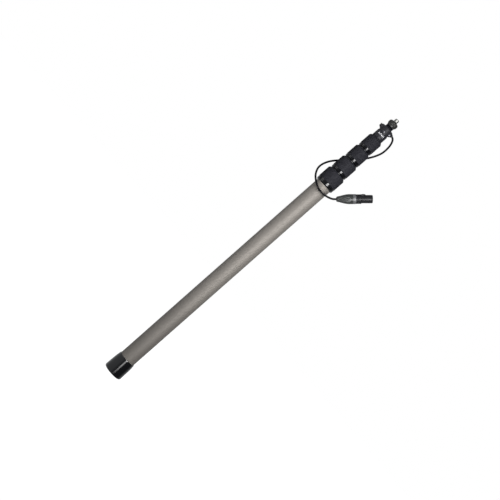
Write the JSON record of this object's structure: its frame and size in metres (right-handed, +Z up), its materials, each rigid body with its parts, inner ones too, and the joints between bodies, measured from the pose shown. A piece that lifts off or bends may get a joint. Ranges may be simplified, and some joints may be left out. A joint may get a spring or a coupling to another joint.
{
  "type": "boom pole",
  "caption": "Telescoping microphone boom pole with screw-down locking collars, an internal coiled cable, a side-exit head with a threaded stud, and a short lead to a round plug.",
  "frame": {"origin": "centre of the boot's flat foot, on the pole's axis", "axes": "+Z up the pole from the boot to the mount stud, +X towards the side the hanging plug is on, pole closed"},
  "size_m": [0.1216, 0.0598, 0.7366],
  "materials": {
    "tube_anodised": "satin warm-grey anodised",
    "inner_tube": "satin grey anodised",
    "black_gloss": "black anodised, polished",
    "boot_black": "black, smooth gloss",
    "collar_knurl": "black anodised, fine diamond knurl",
    "tip_black": "black anodised, satin",
    "nut_olive": "dark olive-grey anodised, satin",
    "stud_steel": "bright steel, cut thread",
    "screw_steel": "bright steel",
    "collet_nylon": "natural acetal",
    "bush_nylon": "black acetal",
    "cable_jacket": "soft black, slight sheen",
    "grommet_rubber": "matte black",
    "connector_metal": "black satin plate",
    "connector_insert": "black moulded",
    "contact_gold": "gold-plated",
    "plug_rubber": "moulded grey-black, ribbed",
    "ring_plastic": "grey moulded",
    "washer_steel": "darkened steel"
  },
  "bodies": {
    "base": {"base_boot": "boot_black", "socket_housing": "connector_metal", "socket_insert": "connector_insert", "socket_pins": "contact_gold", "socket_screws": "screw_steel", "tube_1": "tube_anodised", "ferrule_1": "black_gloss", "coil_1": "cable_jacket"},
    "section_2": {"tube_2": "inner_tube", "guide_bush_2": "bush_nylon", "ferrule_2": "black_gloss", "coil_2": "cable_jacket"},
    "section_3": {"tube_3": "inner_tube", "guide_bush_3": "bush_nylon", "ferrule_3": "black_gloss", "coil_3": "cable_jacket"},
    "section_4": {"tube_4": "inner_tube", "guide_bush_4": "bush_nylon", "ferrule_4": "black_gloss", "coil_4": "cable_jacket"},
    "section_5": {"tube_5": "inner_tube", "guide_bush_5": "bush_nylon", "tip_ferrule": "tip_black", "exit_head": "tip_black", "head_screws": "screw_steel", "lead_grommet": "grommet_rubber", "port_grommet": "grommet_rubber", "neck_boss": "tip_black", "mount_stud": "stud_steel", "mic_lead": "cable_jacket"},
    "jam_washer": {"jam_washer": "washer_steel"},
    "lock_nut": {"lock_nut": "nut_olive"},
    "plug": {"plug_boot": "plug_rubber", "plug_ring": "ring_plastic", "plug_chuck": "ring_plastic", "plug_shell": "connector_metal", "plug_insert": "connector_insert", "plug_contacts": "contact_gold"},
    "plug_latch": {"plug_latch": "connector_metal"},
    "collet_1": {"collet_1": "collet_nylon"},
    "collar_1": {"collar_1": "collar_knurl"},
    "collet_2": {"collet_2": "collet_nylon"},
    "collar_2": {"collar_2": "collar_knurl"},
    "collet_3": {"collet_3": "collet_nylon"},
    "collar_3": {"collar_3": "collar_knurl"},
    "collet_4": {"collet_4": "collet_nylon"},
    "collar_4": {"collar_4": "collar_knurl"}
  },
  "joints": [
    {"name": "section_2_slide", "type": "slide", "parent": "base", "child": "section_2", "axis": [0, 0, 1], "range_m": [0, 0.5038], "deforming": ["coil_1"]},
    {"name": "section_3_slide", "type": "slide", "parent": "section_2", "child": "section_3", "axis": [0, 0, 1], "range_m": [0, 0.518], "deforming": ["coil_2"]},
    {"name": "section_4_slide", "type": "slide", "parent": "section_3", "child": "section_4", "axis": [0, 0, 1], "range_m": [0, 0.5313], "deforming": ["coil_3"]},
    {"name": "section_5_slide", "type": "slide", "parent": "section_4", "child": "section_5", "axis": [0, 0, 1], "range_m": [0, 0.5448], "deforming": ["coil_4"]},
    {"name": "collet_1_lift", "type": "slide", "parent": "base", "child": "collet_1", "axis": [0, 0, 1], "range_m": [0, 0.000755]},
    {"name": "collar_1_turn", "type": "hinge", "parent": "collet_1", "child": "collar_1", "pos_m": [0, 0, 0.6], "axis": [0, 0, 1], "range_deg": [0, 180]},
    {"name": "collet_2_lift", "type": "slide", "parent": "section_2", "child": "collet_2", "axis": [0, 0, 1], "range_m": [0, 0.000755]},
    {"name": "collar_2_turn", "type": "hinge", "parent": "collet_2", "child": "collar_2", "pos_m": [0, 0, 0.6], "axis": [0, 0, 1], "range_deg": [0, 180]},
    {"name": "collet_3_lift", "type": "slide", "parent": "section_3", "child": "collet_3", "axis": [0, 0, 1], "range_m": [0, 0.000755]},
    {"name": "collar_3_turn", "type": "hinge", "parent": "collet_3", "child": "collar_3", "pos_m": [0, 0, 0.6], "axis": [0, 0, 1], "range_deg": [0, 180]},
    {"name": "collet_4_lift", "type": "slide", "parent": "section_4", "child": "collet_4", "axis": [0, 0, 1], "range_m": [0, 0.000755]},
    {"name": "collar_4_turn", "type": "hinge", "parent": "collet_4", "child": "collar_4", "pos_m": [0, 0, 0.6], "axis": [0, 0, 1], "range_deg": [0, 180]},
    {"name": "jam_washer_lift", "type": "slide", "parent": "section_5", "child": "jam_washer", "axis": [0, 0, 1], "range_m": [0, 0.00477]},
    {"name": "lock_nut_turn", "type": "hinge", "parent": "jam_washer", "child": "lock_nut", "pos_m": [0, 0, 0.7236], "axis": [0, 0, 1], "range_deg": [0, 1080]},
    {"name": "plug_swing", "type": "hinge", "parent": "section_5", "child": "plug", "pos_m": [0.0353, -0.022, 0.5436], "axis": [0, 1, 0], "range_deg": [-30, 40], "stiffness_Nm_per_rad": 0.25, "springref_deg": -2.86},
    {"name": "plug_latch_press", "type": "hinge", "parent": "plug", "child": "plug_latch", "pos_m": [0.05876, -0.022, 0.58291], "axis": [0, 1, 0], "range_deg": [0, 5], "stiffness_Nm_per_rad": 0.2, "springref_deg": -5.73}
  ],
  "couplings": [
    {"joint": "collet_1_lift", "follows": "collar_1_turn", "m_per_rad": 0.00023873},
    {"joint": "collet_2_lift", "follows": "collar_2_turn", "m_per_rad": 0.00023873},
    {"joint": "collet_3_lift", "follows": "collar_3_turn", "m_per_rad": 0.00023873},
    {"joint": "collet_4_lift", "follows": "collar_4_turn", "m_per_rad": 0.00023873},
    {"joint": "jam_washer_lift", "follows": "lock_nut_turn", "m_per_rad": 0.00025266}
  ]
}
